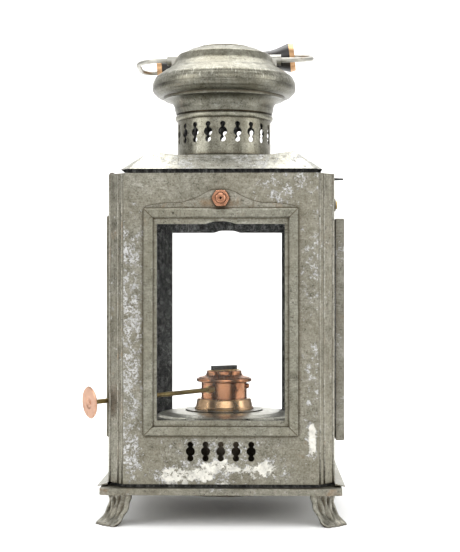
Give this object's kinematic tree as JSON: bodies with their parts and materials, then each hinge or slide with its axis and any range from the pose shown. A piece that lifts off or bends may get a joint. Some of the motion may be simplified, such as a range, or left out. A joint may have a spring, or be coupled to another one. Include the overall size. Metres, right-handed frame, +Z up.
{
  "type": "square oil lantern",
  "caption": "Square tinned-sheet oil lantern with glazed sides, a hinged door, a hinged lid with a perforated chimney, a swinging bail and a wick raiser.",
  "frame": {"origin": "on the ground under the vertical axis of the case", "axes": "+Z up; -Y is the front with the air vents; +X is the door side"},
  "size_m": [0.1696, 0.16, 0.3225],
  "materials": {
    "tinned_sheet": "weathered tinned sheet steel with rust stains and flaked paint",
    "lid_tin": "brighter worn tinned sheet",
    "sooted_sheet": "soot blackened sheet",
    "hinge_steel": "dull steel",
    "cast_feet": "stamped tinned sheet, tarnished",
    "window_glass": "clear sheet glass, slightly dusty",
    "copper": "polished copper, lightly worn",
    "burner_copper": "tarnished copper",
    "brass": "aged brass",
    "cotton_wick": "woven cotton, charred at the top",
    "black_wood": "turned wood, black stained",
    "ferrule_brass": "dull brass",
    "steel_wire": "drawn steel wire"
  },
  "bodies": {
    "case": {"base_plate": "tinned_sheet", "burner_cone": "burner_copper", "burner_foot": "brass", "burner_gallery": "burner_copper", "cap_nuts": "copper", "case_hinge_leaves": "hinge_steel", "case_lid_hinge_leaf": "hinge_steel", "case_seat": "sooted_sheet", "corner_post_front_left": "tinned_sheet", "corner_post_front_right": "tinned_sheet", "corner_post_rear_left": "tinned_sheet", "corner_post_rear_right": "tinned_sheet", "door_hinge_pins": "hinge_steel", "foot_front_left": "cast_feet", "foot_front_right": "cast_feet", "foot_rear_left": "cast_feet", "foot_rear_right": "cast_feet", "fount_neck_ring": "brass", "fount_ring": "tinned_sheet", "glass_front": "window_glass", "glass_guides": "sooted_sheet", "glass_left": "window_glass", "glass_rear": "window_glass", "latch_pivot": "copper", "lid_hinge_pin": "hinge_steel", "oil_fount": "tinned_sheet", "side_aprons": "tinned_sheet", "spindle_bush": "brass", "top_deck": "sooted_sheet", "wall_front": "tinned_sheet", "wall_left": "tinned_sheet", "wall_rear": "tinned_sheet", "wall_right": "tinned_sheet", "wick_tube": "brass", "window_braces": "tinned_sheet", "window_frame_front": "tinned_sheet", "window_frame_left": "tinned_sheet", "window_frame_rear": "tinned_sheet"},
    "door": {"door_frame": "tinned_sheet", "door_glass": "window_glass", "door_hinge_leaves": "hinge_steel"},
    "door_latch": {"latch_button": "tinned_sheet"},
    "lid": {"lid_roof": "lid_tin", "lid_curb": "sooted_sheet", "lid_thumb_tab": "sooted_sheet", "lid_hinge_leaf": "hinge_steel", "vent_collar": "lid_tin", "collar_band": "lid_tin", "crown_pan": "lid_tin", "crown_dome": "lid_tin", "cap_disc": "lid_tin", "cap_legs": "copper", "bail_ears": "steel_wire"},
    "bail": {"bail_wire": "steel_wire", "bail_grip": "black_wood", "grip_ferrules": "ferrule_brass"},
    "wick_spindle": {"spindle_rod": "brass", "star_wheels": "brass", "wick_knob": "copper"},
    "wick": {"wick": "cotton_wick"}
  },
  "joints": [
    {"name": "door_hinge", "type": "hinge", "parent": "case", "child": "door", "pos_m": [0.0742, 0.0512, 0.12], "axis": [0, 0, 1], "range_deg": [0, 110]},
    {"name": "latch_turn", "type": "hinge", "parent": "case", "child": "door_latch", "pos_m": [0.0745, 0, 0.204], "axis": [-1, 0, 0], "range_deg": [0, 90]},
    {"name": "lid_hinge", "type": "hinge", "parent": "case", "child": "lid", "pos_m": [-0.0739, 0, 0.2226], "axis": [0, -1, 0], "range_deg": [0, 100]},
    {"name": "bail_swing", "type": "hinge", "parent": "lid", "child": "bail", "pos_m": [0, 0, 0.3025], "axis": [1, 0, 0], "range_deg": [0, 169]},
    {"name": "spindle_turn", "type": "hinge", "parent": "case", "child": "wick_spindle", "pos_m": [0.00351, -0.00547, 0.081], "axis": [0.8404, 0.5395, 0.0523], "range_deg": [-50, 100]},
    {"name": "wick_lift", "type": "slide", "parent": "case", "child": "wick", "axis": [0, 0, 1], "range_m": [-0.0045, 0.0085]}
  ],
  "couplings": [
    {"joint": "wick_lift", "follows": "spindle_turn", "m_per_rad": 0.0046}
  ]
}
